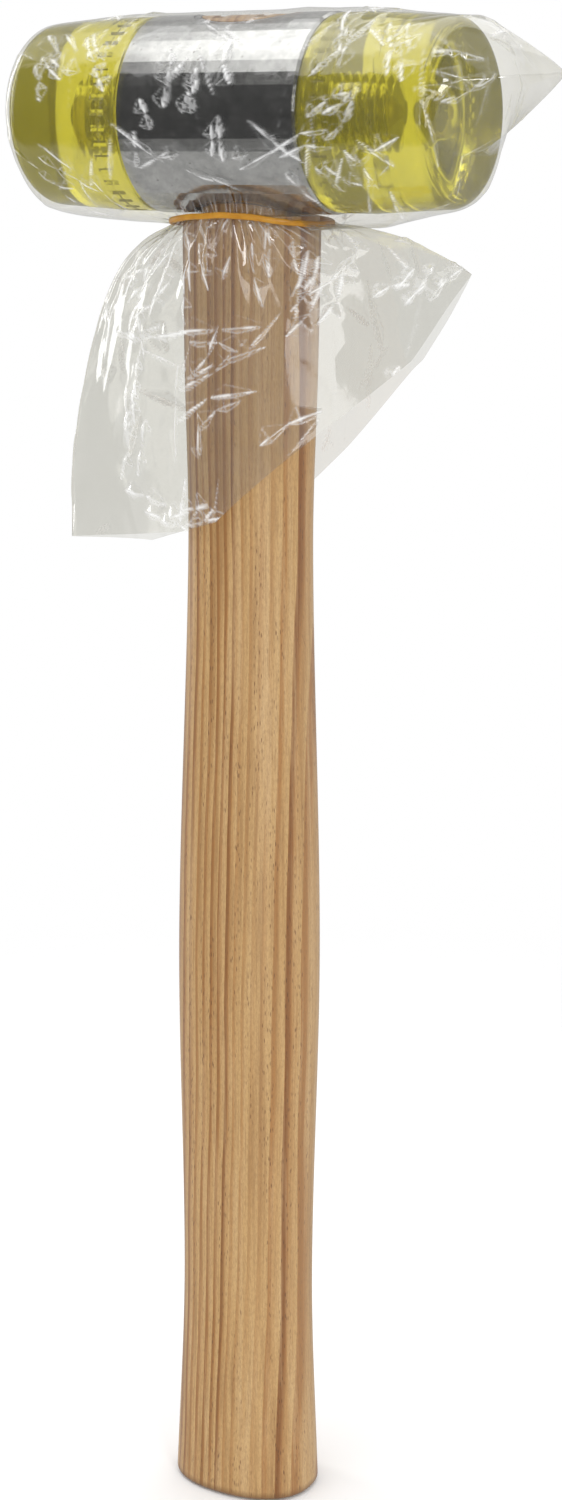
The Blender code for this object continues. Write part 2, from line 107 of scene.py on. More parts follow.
# And those over the right face's end, towards the back and up from the axis
END_CREASES = ((5, (-15, 3), (4, 10), 40, 40, (6, 10), 0.6),)

FLOOR_R = 0.7


# --- Small tools ------------------------------------------------------------------------------
def smooth(low, high, value):
    t = np.clip((np.asarray(value, float) - low) / (high - low), 0, 1)
    return t * t * (3 - 2 * t)


def through(stations, at):
    """A Catmull-Rom curve through (position, value) stations, read at one position."""
    places = [p for p, _ in stations]
    values = [v for _, v in stations]
    i = min(max(int(np.searchsorted(places, at)) - 1, 0), len(places) - 2)
    span = places[i + 1] - places[i]
    slopes = []
    for k in (i, i + 1):
        low, high = max(k - 1, 0), min(k + 1, len(places) - 1)
        slopes.append((values[high] - values[low]) / (places[high] - places[low]))
    t = (at - places[i]) / span
    return (
        (2 * t**3 - 3 * t**2 + 1) * values[i]
        + (t**3 - 2 * t**2 + t) * span * slopes[0]
        + (3 * t**2 - 2 * t**3) * values[i + 1]
        + (t**3 - t**2) * span * slopes[1]
    )


def place(name, mesh, surface, angle=40):
    for polygon in mesh.polygons:
        polygon.use_smooth = True
    mesh.set_sharp_from_angle(angle=math.radians(angle))
    mesh.materials.clear()
    mesh.materials.append(surface)
    made = bpy.data.objects.new(name, mesh)
    bpy.context.scene.collection.objects.link(made)
    return made


def skin(name, rings, closed=True, caps=True):
    """A mesh over rings of points that all have the same count, flipped so that it faces out."""
    work = bmesh.new()
    rows = [[work.verts.new(point) for point in ring] for ring in rings]
    count = len(rows[0])
    for first, second in zip(rows, rows[1:]):
        for i in range(count if closed else count - 1):
            k = (i + 1) % count
            work.faces.new((first[i], first[k], second[k], second[i]))
    if caps:
        work.faces.new(rows[0])
        work.faces.new(rows[-1])
        bmesh.ops.recalc_face_normals(work, faces=work.faces)
    mesh = bpy.data.meshes.new(name)
    work.to_mesh(mesh)
    work.free()
    return mesh


class Nodes:
    """A short way to write a node tree."""

    def __init__(self, tree):
        self.tree = tree

    def add(self, kind, links=(), **values):
        node = self.tree.nodes.new(kind)
        for key, value in values.items():
            setattr(node, key, value)
        for socket, value in dict(links).items():
            target = node.inputs[socket]
            if isinstance(value, bpy.types.NodeSocket):
                self.tree.links.new(value, target)
            else:
                target.default_value = value
        return node

    def math(self, operation, *values, clamp=False):
        node = self.add("ShaderNodeMath", dict(enumerate(values)), operation=operation)
        node.use_clamp = clamp
        return node.outputs[0]

    def ramp(self, factor, stops, interpolation="LINEAR"):
        """stops are (position, grey or colour)."""
        node = self.add("ShaderNodeValToRGB", {0: factor})
        node.color_ramp.interpolation = interpolation
        ramp = node.color_ramp.elements
        while len(ramp) < len(stops):
            ramp.new(0.5)
        for stop, (position, colour) in zip(ramp, stops):
            stop.position = position
            if isinstance(colour, (int, float)):
                colour = (colour,) * 3
            stop.color = (*colour, 1.0)
        return node.outputs[0]

    def mix(self, factor, first, second, blend="MIX"):
        node = self.add("ShaderNodeMix", data_type="RGBA", blend_type=blend)
        for socket, value in ((0, factor), (6, first), (7, second)):
            if isinstance(value, bpy.types.NodeSocket):
                self.tree.links.new(value, node.inputs[socket])
            else:
                node.inputs[socket].default_value = value
        return node.outputs[2]

    def scaled(self, source, scale, turn=(0, 0, 0), move=(0, 0, 0)):
        node = self.add("ShaderNodeMapping", {0: source, 1: move, 2: turn, 3: scale})
        return node.outputs[0]

    def noise(self, source, scale, detail=3.0, roughness=0.5, distortion=0.0):
        node = self.add("ShaderNodeTexNoise", {0: source})
        node.inputs["Scale"].default_value = scale
        node.inputs["Detail"].default_value = detail
        node.inputs["Roughness"].default_value = roughness
        node.inputs["Distortion"].default_value = distortion
        return node.outputs[0]

    def bump(self, height, strength, distance):
        return self.add(
            "ShaderNodeBump", {"Height": height, "Strength": strength, "Distance": distance}
        ).outputs[0]


def new_material(name):
    made = bpy.data.materials.new(name)
    made.use_nodes = True
    nodes = Nodes(made.node_tree)
    shader = made.node_tree.nodes["Principled BSDF"]
    place_of = nodes.add("ShaderNodeTexCoord").outputs["Object"]
    return made, nodes, shader, place_of


def connect(nodes, shader, **sources):
    names = {"colour": "Base Color", "rough": "Roughness", "normal": "Normal", "metal": "Metallic"}
    for key, value in sources.items():
        nodes.tree.links.new(value, shader.inputs[names[key]])


# --- Materials --------------------------------------------------------------------------------
def chromed_steel():
    made, nodes, shader, at = new_material("worn chromed steel")
    shader.inputs["Metallic"].default_value = 1.0
    cloud = nodes.noise(at, 190, 7, 0.65)
    fine = nodes.noise(at, 900, 4, 0.6)
    scratch = nodes.noise(nodes.scaled(at, (60, 900, 900)), 1.0, 4, 0.6)
    pits = nodes.add("ShaderNodeTexVoronoi", {0: at, "Scale": 330.0}).outputs["Distance"]
    pit = nodes.ramp(pits, ((0.05, 0.0), (0.09, 1.0)))
    tone = nodes.ramp(cloud, ((0.38, (0.46, 0.465, 0.47)), (0.64, (0.68, 0.685, 0.69))))
    tone = nodes.mix(nodes.ramp(fine, ((0.45, 0.0), (0.75, 0.35))), tone, (0.8, 0.8, 0.82, 1))
    tone = nodes.mix(nodes.math("MULTIPLY", nodes.math("SUBTRACT", 1.0, pit), 0.7), tone,
                     (0.12, 0.09, 0.07, 1))
    rough = nodes.math("MULTIPLY_ADD", fine, 0.16, nodes.math("MULTIPLY", scratch, 0.08))
    rough = nodes.math("ADD", rough, nodes.math("MULTIPLY", cloud, 0.06))
    height = nodes.math("ADD", nodes.math("MULTIPLY", fine, 0.5), nodes.math("MULTIPLY", scratch, 0.5))
    connect(nodes, shader, colour=tone, rough=rough, normal=nodes.bump(height, 0.12, 0.0001))
    return made


def zinc_steel(name, tint=(0.5, 0.5, 0.52), scale=500):
    made, nodes, shader, at = new_material(name)
    shader.inputs["Metallic"].default_value = 1.0
    grain = nodes.noise(at, scale, 5, 0.6)
    dark = tuple(0.72 * c for c in tint)
    connect(
        nodes, shader,
        colour=nodes.ramp(grain, ((0.3, dark), (0.7, tint))),
        rough=nodes.ramp(grain, ((0.3, 0.2), (0.7, 0.42))),
        normal=nodes.bump(grain, 0.2, 0.0001),
    )
    return made


def cast_plastic(name):
    """Clear yellow cellulose plastic: faint haze and mould marks on a polished surface."""
    made, nodes, shader, at = new_material(name)
    shader.inputs["Transmission Weight"].default_value = 0.8
    shader.inputs["IOR"].default_value = 1.47
    shader.inputs["Specular IOR Level"].default_value = 0.3
    cloud = nodes.noise(at, 90, 3, 0.5)
    streaks = nodes.noise(nodes.scaled(at, (500, 60, 60)), 1.0, 3, 0.5)
    colour = nodes.ramp(cloud, ((0.3, (0.70, 0.63, 0.040)), (0.7, (0.78, 0.71, 0.060))))
    swell = nodes.noise(at, 55, 2, 0.4)
    rough = nodes.ramp(streaks, ((0.4, 0.09), (0.7, 0.15)))
    relief = nodes.math("MULTIPLY_ADD", swell, 30.0, streaks)
    connect(nodes, shader, colour=colour, rough=rough, normal=nodes.bump(relief, 0.3, 0.0001))
    return made


def ash_wood(name, dark=1.0):
    """Plain sawn ash under clear lacquer: growth bands, pores, flecks and fibre."""
    made, nodes, shader, at = new_material(name)
    parts = nodes.add("ShaderNodeSeparateXYZ", {0: at})
    x, y, z = parts.outputs
    wander = nodes.noise(nodes.scaled(at, (22, 22, 7)), 1.0, 3, 0.5)
    ripple = nodes.noise(nodes.scaled(at, (160, 160, 22)), 1.0, 3, 0.55)
    across = nodes.math("MULTIPLY_ADD", nodes.math("SUBTRACT", wander, 0.5), 0.0060, x)
    across = nodes.math("MULTIPLY_ADD", nodes.math("SUBTRACT", ripple, 0.5), 0.0006, across)
    across = nodes.math("MULTIPLY_ADD", z, -0.012, across)
    across = nodes.math("MULTIPLY_ADD", y, 0.45, across)
    # the rings are tight on the left and wide on the right
    squared = nodes.math("MULTIPLY", across, across)
    phase = nodes.math("MULTIPLY_ADD", squared, -6400.0, nodes.math("MULTIPLY", across, 400.0))
    ring = nodes.math("FRACT", nodes.math("ADD", phase, 40.0))
    number = nodes.math("FLOOR", nodes.math("ADD", phase, 40.0))
    chance = nodes.add("ShaderNodeTexWhiteNoise", {"W": number}, noise_dimensions="1D").outputs[0]
    band = nodes.ramp(
        ring, ((0.0, 0.0), (0.04, 0.8), (0.10, 1.0), (0.30, 0.85), (0.50, 0.25), (1.0, 0.0))
    )
    # the middle of the handle is the palest
    sides = nodes.ramp(nodes.math("MULTIPLY_ADD", across, 30.0, 0.5), (
        (0.05, 1.0), (0.34, 0.95), (0.48, 0.40), (0.66, 0.45), (0.78, 1.0), (1.0, 1.0),
    ))
    weight = nodes.math("MULTIPLY", nodes.math("MULTIPLY_ADD", chance, 0.75, 0.25), sides)
    band = nodes.math("MULTIPLY", band, weight)
    fibre = nodes.noise(nodes.scaled(at, (2400, 2400, 60)), 1.0, 4, 0.6)
    streak = nodes.noise(nodes.scaled(at, (520, 520, 9)), 1.0, 4, 0.6)
    cells = nodes.add(
        "ShaderNodeTexVoronoi", {0: nodes.scaled(at, (2200, 2200, 420)), "Scale": 1.0}
    ).outputs["Distance"]
    pore = nodes.ramp(cells, ((0.14, 1.0), (0.30, 0.0)))
    columns = nodes.noise(nodes.scaled(at, (420, 420, 12)), 1.0, 2, 0.5)
    columns = nodes.ramp(columns, ((0.50, 0.0), (0.60, 1.0)))
    specks = nodes.math("MULTIPLY_ADD", columns, 0.75, nodes.math("MULTIPLY_ADD", band, 0.5, 0.1))
    pore = nodes.math("MULTIPLY", pore, specks, clamp=True)
    grain = nodes.noise(nodes.scaled(at, (3200, 3200, 900)), 1.0, 3, 0.7)
    base = nodes.ramp(
        band,
        ((0.0, (0.560, 0.350, 0.145)), (0.35, (0.400, 0.190, 0.058)), (0.9, (0.215, 0.075, 0.016))),
    )
    base = nodes.mix(nodes.ramp(streak, ((0.50, 0.0), (0.66, 0.55))), base, (0.62, 0.42, 0.21, 1))
    base = nodes.mix(nodes.ramp(streak, ((0.34, 0.5), (0.48, 0.0))), base, (0.30, 0.145, 0.045, 1))
    base = nodes.mix(nodes.ramp(fibre, ((0.50, 0.0), (0.70, 0.5))), base, (0.32, 0.17, 0.06, 1))
    base = nodes.mix(nodes.math("MULTIPLY", pore, 0.85), base, (0.12, 0.045, 0.015, 1))
    base = nodes.mix(nodes.ramp(grain, ((0.35, 0.35), (0.6, 0.0))), base, (0.26, 0.14, 0.05, 1))
    base = nodes.mix(1.0, base, (dark, dark, dark, 1), "MULTIPLY")
    # the butt's rounded rim is painted darker: painted shade on the rounding that turns down, away
    # from the light
    butt_rim_shade = nodes.ramp(nodes.math("MULTIPLY", z, 400.0), ((0.2, 0.85), (0.9, 0.0)))
    base = nodes.mix(butt_rim_shade, base, (0.16, 0.07, 0.02, 1))
    height = nodes.math("SUBTRACT", nodes.math("MULTIPLY", fibre, 0.3), pore)
    rough = nodes.ramp(fibre, ((0.3, 0.36), (0.7, 0.5)))
    shader.inputs["Coat Weight"].default_value = 0.25
    shader.inputs["Coat Roughness"].default_value = 0.25
    connect(nodes, shader, colour=base, rough=rough, normal=nodes.bump(height, 0.35, 0.00012))
    return made


def amber_rubber():
    made, nodes, shader, at = new_material("amber band rubber")
    cloud = nodes.noise(at, 300, 4, 0.6)
    shader.inputs["Subsurface Weight"].default_value = 0.25
    shader.inputs["Subsurface Radius"].default_value = (0.002, 0.001, 0.0004)
    connect(
        nodes, shader,
        colour=nodes.ramp(cloud, ((0.3, (0.44, 0.19, 0.010)), (0.7, (0.56, 0.27, 0.018)))),
        rough=nodes.ramp(cloud, ((0.3, 0.3), (0.7, 0.45))),
        normal=nodes.bump(cloud, 0.2, 0.0001),
    )
    return made


def clear_film(name, tint, haze):
    """Thin polyethylene: see-through, glossy on both sides, and white along its creases, partly the
    film's own crease whitening and partly painted highlight.
    """
    made = bpy.data.materials.new(name)
    made.use_nodes = True
    tree = made.node_tree
    tree.nodes.clear()
    nodes = Nodes(tree)
    at = nodes.add("ShaderNodeTexCoord").outputs["Object"]
    crease = nodes.add("ShaderNodeAttribute", attribute_name="crease").outputs["Fac"]
    ripple = nodes.noise(at, 260, 3, 0.5)
    cloud = nodes.noise(at, 120, 4, 0.6)
    normal = nodes.bump(ripple, 0.2, 0.00015)
    clear = nodes.add("ShaderNodeBsdfTransparent", {0: (*tint, 1)}).outputs[0]
    gloss = nodes.add(
        "ShaderNodeBsdfGlossy", {"Color": (1, 1, 1, 1), "Roughness": 0.08, "Normal": normal}
    ).outputs[0]
    haze_and_painted_highlight = nodes.add("ShaderNodeBsdfDiffuse", {0: (0.95, 0.95, 0.95, 1), "Normal": normal}).outputs[0]
    # Schlick's rule on both sides of the film, two surfaces thick
    facing = nodes.add("ShaderNodeLayerWeight", {"Blend": 0.5, "Normal": normal}).outputs["Facing"]
    shine = nodes.math("MULTIPLY_ADD", nodes.math("POWER", facing, 5.0), 0.90, 0.085, clamp=True)
    cover = nodes.math("MULTIPLY_ADD", cloud, haze, haze * 0.5)
    # the creases' white is partly the film's real whitening and partly painted highlight: streaks of
    # light the folds catch, drawn in
    cover = nodes.math("MULTIPLY_ADD", crease, 0.75, cover, clamp=True)
    body = nodes.add("ShaderNodeMixShader", {0: shine, 1: clear, 2: gloss}).outputs[0]
    whole = nodes.add("ShaderNodeMixShader", {0: cover, 1: body, 2: haze_and_painted_highlight}).outputs[0]
    output = nodes.add("ShaderNodeOutputMaterial")
    tree.links.new(whole, output.inputs[0])
    return made


# --- The handle -------------------------------------------------------------------------------
def oval(half_x, half_y, height, sides):
    """A ring round the handle; height is a number or a function of y."""
    ring = []
    for i in range(sides):
        a = 2 * math.pi * i / sides
        c, s = math.cos(a), math.sin(a)
        x = half_x * math.copysign(abs(c) ** (2 / OVAL_POWER), c)
        y = half_y * math.copysign(abs(s) ** (2 / OVAL_POWER), s)
        ring.append((x, y, height(y) if callable(height) else height))
    return ring


def box_cutter(low, high):
    work = bmesh.new()
    bmesh.ops.create_cube(work, size=1.0)
    for corner in work.verts:
        corner.co = [low[k] if corner.co[k] < 0 else high[k] for k in range(3)]
    mesh = bpy.data.meshes.new("cutter")
    work.to_mesh(mesh)
    work.free()
    made = bpy.data.objects.new("cutter", mesh)
    bpy.context.scene.collection.objects.link(made)
    return made


def carve(target, cutters):
    """Applies Boolean differences to an object's mesh and removes the cutters."""
    for other in cutters:
        step = target.modifiers.new("cut", "BOOLEAN")
        step.operation = "DIFFERENCE"
        step.object = other
    mesh = bpy.data.meshes.new_from_object(
        target.evaluated_get(bpy.context.evaluated_depsgraph_get())
    )
    target.modifiers.clear()
    target.data = mesh
    for other in cutters:
        bpy.data.objects.remove(other, do_unlink=True)


def build_handle(head_z, tube_r):
    sides, levels = 96, 130
    rings = []
    for k in range(7):
        a = math.pi / 2 * k / 6
        inset = BUTT_ROUND * (1 - math.sin(a))
        z = BUTT_ROUND * (1 - math.cos(a))
        width = through(HANDLE_STATIONS, z)
        rings.append(oval(width - inset, width * HANDLE_DEPTH - inset, z, sides))

    top = head_z - tube_r - GAP
    for k in range(1, levels):
        z = BUTT_ROUND + (top - 2 * BUTT_ROUND) * k / levels
        width = through(HANDLE_STATIONS, z)
        rings.append(oval(width, width * HANDLE_DEPTH, z, sides))
    width = through(HANDLE_STATIONS, top)
    rings.append(oval(width - 0.0004, width * HANDLE_DEPTH - 0.0004, top - 0.0001, sides))
    rings.append(oval(width - 0.0008, width * HANDLE_DEPTH - 0.0008, top, sides))
    rings.append(oval(*TENON, top, sides))

    def over(y):
        return head_z + math.sqrt((tube_r - GAP) ** 2 - y**2)

    for share in (1.0, 0.97, 0.8, 0.6, 0.4, 0.2, 0.05):
        rings.append(oval(TENON[0] * share, TENON[1] * share, over, sides))
    handle = place("ash_handle", skin("ash_handle", rings), ash_wood("lacquered ash"), 35)
    cutters = []
    for node in ("wooden_wedge", "steel_wedge_left", "steel_wedge_right"):
        low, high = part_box(node)
        cutters.append(
            box_cutter([v - GAP for v in low], [high[0] + GAP, high[1] + GAP, high[2] + 0.003])
        )
    carve(handle, cutters)
    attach(handle, "mallet")
    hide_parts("handle")


# --- The screw-on faces and their studs -------------------------------------------------------
def circle(x, radius, sides, head_z):
    turns = [2 * math.pi * i / sides for i in range(sides)]
    return [(x, radius * math.sin(a), head_z + radius * math.cos(a)) for a in turns]


def thread(x, mean, swing, sides, head_z):
    ring = []
    for i in range(sides):
        a = 2 * math.pi * i / sides
        turn = (x / PITCH + i / sides) % 1.0
        radius = mean + swing * math.cos(2 * math.pi * turn)
        ring.append((x, radius * math.sin(a), head_z + radius * math.cos(a)))
    return ring


def grooved(x, back, radius, sides, head_z):
    """A ring of the outside of the face: grooves along it, tied by one fine ring groove."""
    start, end = back + KNURL[0], back + KNURL[1]
    inside = float(smooth(start, start + 0.0003, x) * (1 - smooth(end - 0.0003, end, x)))
    middle = abs(x - (start + end) / 2)
    tie = 0.35 * math.exp(-((middle / 0.00022) ** 2))
    per_groove = sides // GROOVES
    ring = []
    for i in range(sides):
        a = 2 * math.pi * i / sides
        notch = 1.0 if i % per_groove == 0 else 0.0
        depth = GROOVE_DEPTH * max(notch * inside, tie)
        r = radius - depth
        ring.append((x, r * math.sin(a), head_z + r * math.cos(a)))
    return ring


def turned(ring, side):
    """As it is for the right side, or turned half round the handle for the left."""
    return [(side * x, side * y, z) for x, y, z in ring]


def build_face(side, name, plastic):
    low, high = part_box(f"face_{name}")
    washer_low, washer_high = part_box(f"lock_washer_{name}")
    stud_low, stud_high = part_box(f"face_stud_{name}")
    head_z = (low[2] + high[2]) / 2
    radius = (high[2] - low[2]) / 2
    back, end = sorted((abs(low[0]), abs(high[0])))
    washer_r = (washer_high[2] - washer_low[2]) / 2 + 0.0007
    washer_end = max(abs(washer_low[0]), abs(washer_high[0]))
    stud_r = (stud_high[2] - stud_low[2]) / 2
    sides = 200
    rings = [circle(end, r, sides, head_z) for r in (0.0006, 0.004, 0.009, 0.014)]
    for k in range(13):
        a = math.pi / 2 * k / 12
        r = radius - FACE_DRAFT - FACE_ROUND * (1 - math.sin(a))
        rings.append(circle(end - FACE_ROUND * (1 - math.cos(a)), r, sides, head_z))
    knurl_end = back + KNURL[1]
    for share in np.linspace(0.08, 1, 14):
        x = (end - FACE_ROUND) * (1 - share) + (knurl_end + 0.0022) * share
        rings.append(circle(x, radius - FACE_DRAFT * (1 - share), sides, head_z))
    for x in (0.0026, 0.0022, 0.0018, 0.0014):
        dip = 0.00012 if x in (0.0022, 0.0018) else 0.0
        rings.append(circle(knurl_end + x - 0.0009, radius - dip, sides, head_z))
    for x in np.arange(knurl_end + 0.0001, back + KNURL[0] - 0.0001, -0.00012):
        rings.append(grooved(x, back, radius, sides, head_z))
    rings.append(circle(back + 0.0012, radius, sides, head_z))
    rings.append(circle(back + 0.0005, radius, sides, head_z))
    rings.append(circle(back + 0.00015, radius - 0.00015, sides, head_z))
    rings.append(circle(back, radius - 0.0005, sides, head_z))
    rings.append(circle(back, washer_r, sides, head_z))
    floor = washer_end + 0.0003
    rings.append(circle(floor, washer_r, sides, head_z))
    rings.append(circle(floor, stud_r + THREAD_ROOM, sides, head_z))
    mean = stud_r - THREAD_DEPTH / 2 + THREAD_ROOM
    hole_end = back + HOLE_DEPTH
    for x in np.arange(floor + 0.0003, hole_end - 0.0003, PITCH / 10):
        rings.append(thread(x, mean, THREAD_DEPTH / 2, sides, head_z))
    rings.append(circle(hole_end, stud_r - THREAD_DEPTH, sides, head_z))
    rings.append(circle(hole_end + 0.0015, 0.0015, sides, head_z))
    mesh = skin(f"plastic_face_{name}", [turned(ring, side) for ring in rings])
    made = place(f"plastic_face_{name}", mesh, plastic, 30)
    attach(made, f"face_{name}")
    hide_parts(f"face_{name}")


def build_stud(side, name, steel):
    low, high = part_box(f"face_stud_{name}")
    head_z = (low[2] + high[2]) / 2
    radius = (high[2] - low[2]) / 2
    root, tip = sorted((abs(low[0]), abs(high[0])))
    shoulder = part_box("head_tube")[1][0]
    sides = 72
    rings = [
        circle(root, radius - STUD_CHAMFER, sides, head_z),
        circle(root + STUD_CHAMFER, radius, sides, head_z),
        circle(shoulder, radius, sides, head_z),
        circle(shoulder + STUD_UNDERCUT, radius - THREAD_DEPTH, sides, head_z),
    ]
    mean = radius - THREAD_DEPTH / 2
    for x in np.arange(shoulder + 0.0007, tip - 0.001, PITCH / 12):
        rings.append(thread(x, mean, THREAD_DEPTH / 2, sides, head_z))
    rings.append(circle(tip, radius - THREAD_DEPTH - STUD_UNDERCUT, sides, head_z))
    mesh = skin(f"threaded_stud_{name}", [turned(ring, side) for ring in rings])
    made = place(f"threaded_stud_{name}", mesh, steel, 50)
    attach(made, "mallet")
    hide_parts(f"face_stud_{name}")


# --- The film bag -----------------------------------------------------------------------------
def facets(points, cell, slope, seed):
    """Crumpled facets: heights that are flat inside random cells and meet in sharp creases.

    The difference of the squared distances to the nearest points of two random sets is linear
    wherever both nearest points stay the same.
    """
    cell = np.asarray(cell, float)
    where = points / cell
    other = where + np.array((17.31, 5.77, 9.13)) * (seed + 1)
    out = np.empty(len(points))
    for i, (p, q) in enumerate(zip(where, other)):
        near = noise.voronoi(Vector(p + seed * 3.7))[0][0]
        far = noise.voronoi(Vector(q))[0][0]
        out[i] = near * near - far * far
    return out * slope * cell.min() / 2


def stroke(points, normals, start, end, facing, width, peak=0.35):
    """A straight fold between two points of the film: its fine ridge, and the wide tent under it."""
    reach = end - start
    length = np.linalg.norm(reach)
    along = reach / length
    across = np.cross(facing, along)
    across = across / np.linalg.norm(across)
    away = points - start
    share = away @ along / length
    taper = np.clip(np.minimum(share / peak, (1 - share) / (1 - peak)), 0, 1)
    side = away @ across
    near = (share > 0) & (share < 1) & (normals @ facing > 0.2)
    fine = np.abs(side) / (width * taper**0.5 + 1e-9)
    ridge = np.where(near, np.clip(1 - fine, 0, 1), 0)
    # steep on one side, a wide facet on the other
    wide = np.where(side > 0, side / 4.5, -side / 1.5) / (width * taper + 1e-9)
    tent = np.where(near, np.clip(1 - wide, 0, 1), 0)
    return np.stack([ridge, tent * taper])


def drawn(points, normals, folds, spot, facing):
    """Folds listed as a half width and corners in millimetres; spot turns a corner into a point."""
    marks = np.zeros((2, len(points)))
    facing = np.array(facing, float)
    for half, *corners in folds:
        spots = [0.001 * np.array(spot(*corner), float) for corner in corners]
        for start, end in zip(spots, spots[1:]):
            marks = np.maximum(marks, stroke(points, normals, start, end, facing, 0.001 * half))
    return marks


def creased(families, seed):
    """Rows for drawn(): each crease is bent once, at the middle of its length."""
    draw = np.random.default_rng(seed)
    folds = []
    for count, middle, spread, slope, fan, lengths, half in families:
        for _ in range(count):
            knee = np.array(middle) + np.array(spread) * draw.uniform(-1, 1, 2)
            turn = math.radians(slope + fan * draw.uniform(-1, 1))
            bend = turn + math.radians(draw.uniform(-30, 30))
            reach = draw.uniform(*lengths) / 2
            start = knee - reach * np.array((math.cos(turn), math.sin(turn)))
            end = knee + reach * np.array((math.cos(bend), math.sin(bend)))
            folds.append((half * draw.uniform(0.8, 1.3), start, knee, end))
    return folds


def scattered(points, normals, count, lengths, width, seed):
    """Short folds at random places, mostly running up and down."""
    draw = np.random.default_rng(seed)
    marks = np.zeros((2, len(points)))
    for _ in range(count):
        i = int(draw.integers(len(points)))
        lean = draw.normal(0, 0.7)
        half = draw.uniform(*lengths) / 2
        thick = width * draw.uniform(0.9, 1.5)
        strength = draw.uniform(0.3, 1.0)
        peak = draw.uniform(0.2, 0.8)
        facing = normals[i]
        along = np.array((math.sin(lean), 0.2, math.cos(lean)))
        along = along - facing * (facing @ along)
        along = along / np.linalg.norm(along)
        ends = points[i] - half * along, points[i] + half * along
        line = stroke(points, normals, *ends, facing, thick, peak)
        marks = np.maximum(marks, strength * line)
    return marks


def wave(phase):
    """A triangle wave from -1 to 1 with slightly softened turns."""
    t = np.abs((phase % 1.0) * 2 - 1) * 2 - 1
    return t * (1.25 - 0.25 * t * t)


def warp(points, scale, amount, seed):
    shift = Vector((seed * 13.1, seed * 7.7, seed * 3.3))
    return amount * np.array([noise.noise(Vector(p) / scale + shift) for p in points])


def neck_point(turn, head_z, extra=0.0, lift=0.0):
    c, s = np.cos(turn), np.sin(turn)
    across = (np.abs(c) / (NECK[0] + extra)) ** OVAL_POWER
    across = across + (np.abs(s) / (NECK[1] + extra)) ** OVAL_POWER
    radius = across ** (-1 / OVAL_POWER)
    height = head_z - NECK_DROP + NECK_RISE * s**2 + lift
    return np.stack([radius * c, radius * s, height + 0 * c], axis=-1)


def hood_distance(d, size):
    """How far the film is from the head's centre, in directions d."""
    radius, half = size
    x, y, z = d[:, 0], d[:, 1], d[:, 2]
    across = np.maximum(np.hypot(y, z), 1e-9)
    down = np.clip(-z / across, 0, 1)
    belly = np.where(x > 0, BELLY[1] * (1 - 0.8 * smooth(0.8, 0.93, x)), BELLY[0])
    belly = belly * smooth(0.0, 0.35, np.abs(x)) * down**4
    # the faces narrow towards their ends, and the film with them
    narrow = HOOD_NARROW * smooth(1.05, 2.4, np.abs(x) / across)
    around = (across / (radius + belly - narrow)) ** HOOD_SQUARE + (np.abs(x) / half) ** HOOD_SQUARE
    around = around ** (-1 / HOOD_SQUARE)
    slope = np.degrees(np.arctan2(z, np.maximum(x, 1e-9)))
    reach = np.interp(slope, [p for p, _ in CORNER], [r for _, r in CORNER])
    side = np.abs(np.degrees(np.arctan2(y, np.maximum(x, 1e-9)))) / CORNER_FAN
    tent = around + (reach - around) * np.clip(1 - side, 0, 1) ** 1.15
    tent = np.where((x > 0) & (side < 1), tent, 0)
    return np.maximum(around, tent)


def resampled(path, count):
    """Points evenly spread along each column of a grid (samples, columns, 3)."""
    steps = np.linalg.norm(np.diff(path, axis=0), axis=2)
    along = np.concatenate([np.zeros((1, path.shape[1])), np.cumsum(steps, axis=0)])
    out = np.empty((count, path.shape[1], 3))
    for k in range(path.shape[1]):
        at = np.linspace(0, along[-1, k], count)
        for axis in range(3):
            out[:, k, axis] = np.interp(at, along[:, k], path[:, k, axis])
    return out


def grid_normals(grid, closed):
    if closed:
        around = np.roll(grid, -1, axis=1) - np.roll(grid, 1, axis=1)
    else:
        around = np.gradient(grid, axis=1)
    up = np.gradient(grid, axis=0)
    normal = np.cross(around, up)
    return normal / np.maximum(np.linalg.norm(normal, axis=2, keepdims=True), 1e-12)


def creasing(height, closed):
    """How sharply a grid of heights bends, from 0 to 1."""
    def second(values, axis):
        padded = np.roll(values, 1, axis) + np.roll(values, -1, axis) - 2 * values
        return np.abs(padded)
    bend = second(height, 0)
    bend[0] = bend[-1] = 0
    across = second(height, 1)
    if not closed:
        across[:, 0] = across[:, -1] = 0
    return bend + across


def film_object(name, grid, crease, closed, surface):
    mesh = skin(name, grid.tolist(), closed=closed, caps=False)
    values = crease.reshape(-1)
    mark = mesh.attributes.new("crease", "FLOAT", "POINT")
    mark.data.foreach_set("value", values.astype(np.float32))
    return place(name, mesh, surface, 180)


